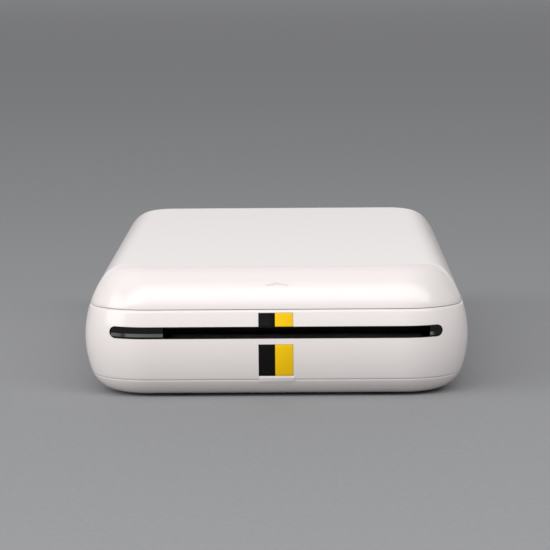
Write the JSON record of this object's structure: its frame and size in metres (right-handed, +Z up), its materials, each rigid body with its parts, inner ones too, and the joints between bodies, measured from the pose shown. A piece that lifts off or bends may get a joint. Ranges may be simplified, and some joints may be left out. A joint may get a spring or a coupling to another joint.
{
  "type": "compact photo printer",
  "caption": "Pocket photo printer: barrel-sided case with a lift-off cover, front exit slot, geared rollers, sprung print head, paper bay, power button and rubber feet.",
  "frame": {"origin": "on the surface that it stands on, under the middle of the case", "axes": "+X to the right, seen from the exit slot; +Y from the exit slot to the back; +Z up"},
  "size_m": [0.0762, 0.127, 0.0254],
  "materials": {
    "shell_white": "glossy moulded plastic",
    "liner_black": "glossy moulded plastic",
    "stripe_black": "glossy inlay",
    "stripe_yellow": "glossy inlay",
    "frame_black": "fine matt moulded plastic",
    "plate_grey": "matt moulded plastic",
    "roller_rubber": "ground rubber",
    "foot_rubber": "moulded rubber",
    "shaft_steel": "ground steel",
    "spring_steel": "drawn spring wire",
    "sheet_steel": "zinc-plated sheet",
    "screw_steel": "blackened steel",
    "motor_steel": "nickel-plated can",
    "bush_bronze": "sintered bronze",
    "gear_plastic": "acetal",
    "pinion_brass": "machined brass",
    "sink_aluminium": "extruded",
    "strip_ceramic": "glazed ceramic",
    "board_green": "solder mask",
    "chip_black": "moulded epoxy",
    "radio_shield": "tinned shield",
    "port_steel": "plated shell",
    "battery_wrap": "foil pouch",
    "clear_plastic": "clear moulded plastic",
    "lamp_white": "lamp with a yellow filling"
  },
  "bodies": {
    "root": {"side_band": "shell_white", "bottom_shell": "shell_white", "black_stripe_upper": "stripe_black", "yellow_stripe_upper": "stripe_yellow", "black_stripe_lower": "stripe_black", "yellow_stripe_lower": "stripe_yellow", "slot_liner": "liner_black", "chassis": "frame_black", "platen_bushes": "bush_bronze", "pick_bushes": "bush_bronze", "idler_pin": "shaft_steel", "reduction_pin": "shaft_steel", "gear_clips": "spring_steel", "motor": "motor_steel", "motor_screws": "screw_steel", "head_bridge": "sheet_steel", "bridge_screws": "screw_steel", "left_head_spring": "spring_steel", "right_head_spring": "spring_steel", "power_switch": "chip_black", "main_board": "board_green", "board_screws": "screw_steel", "board_chips": "chip_black", "radio_module": "radio_shield", "charging_port": "port_steel", "light_pipe": "clear_plastic", "charge_lamp": "lamp_white", "battery": "battery_wrap", "paper_sensor": "chip_black", "rubber_feet": "foot_rubber", "case_screws": "screw_steel"},
    "cover": {"top_cover": "shell_white", "front_plate_spring": "spring_steel", "rear_plate_spring": "spring_steel"},
    "plate": {"pressure_plate": "plate_grey"},
    "platen": {"platen_roller": "roller_rubber", "platen_shaft": "shaft_steel", "platen_gear": "gear_plastic"},
    "idler": {"idler_gear": "gear_plastic"},
    "pick": {"pick_roller": "roller_rubber", "pick_shaft": "shaft_steel", "pick_gear": "gear_plastic"},
    "reduction": {"reduction_gear": "gear_plastic"},
    "rotor": {"motor_shaft": "shaft_steel", "motor_pinion": "pinion_brass"},
    "head": {"print_head_strip": "strip_ceramic", "heat_sink": "sink_aluminium", "head_pivot_pins": "shaft_steel"},
    "button": {"power_button": "shell_white"}
  },
  "joints": [
    {"name": "cover_slide", "type": "slide", "parent": "root", "child": "cover", "axis": [0, 0.9063, 0.4226], "range_m": [0, 0.13]},
    {"name": "plate_travel", "type": "slide", "parent": "cover", "child": "plate", "axis": [0, 0, 1], "range_m": [0, 0.0026], "stiffness_N_per_m": 60, "springref_m": -0.006, "deforming": ["front_plate_spring", "rear_plate_spring"]},
    {"name": "platen_turn", "type": "hinge", "parent": "root", "child": "platen", "pos_m": [0, -0.0475, 0.0093], "axis": [1, 0, 0], "continuous": true},
    {"name": "idler_turn", "type": "hinge", "parent": "root", "child": "idler", "pos_m": [0, -0.03683, 0.01199], "axis": [1, 0, 0], "continuous": true},
    {"name": "pick_turn", "type": "hinge", "parent": "root", "child": "pick", "pos_m": [0, -0.0275, 0.0084], "axis": [1, 0, 0], "continuous": true},
    {"name": "reduction_turn", "type": "hinge", "parent": "root", "child": "reduction", "pos_m": [0, -0.02237, 0.01454], "axis": [1, 0, 0], "continuous": true},
    {"name": "motor_turn", "type": "hinge", "parent": "root", "child": "rotor", "pos_m": [0, -0.0155, 0.0066], "axis": [1, 0, 0], "continuous": true},
    {"name": "head_lift", "type": "hinge", "parent": "root", "child": "head", "pos_m": [0.00405, -0.0401, 0.0156], "axis": [-1, 0, 0], "range_deg": [0, 3], "stiffness_Nm_per_rad": 0.05, "springref_deg": -17.19, "deforming": ["left_head_spring", "right_head_spring"]},
    {"name": "button_press", "type": "slide", "parent": "root", "child": "button", "axis": [-1, 0, 0], "range_m": [0, 0.0005], "stiffness_N_per_m": 600, "springref_m": -0.0005}
  ],
  "couplings": [
    {"joint": "idler_turn", "follows": "platen_turn", "ratio": -1.2},
    {"joint": "pick_turn", "follows": "platen_turn", "ratio": 1.2},
    {"joint": "reduction_turn", "follows": "platen_turn", "ratio": -2},
    {"joint": "motor_turn", "follows": "platen_turn", "ratio": 5}
  ]
}
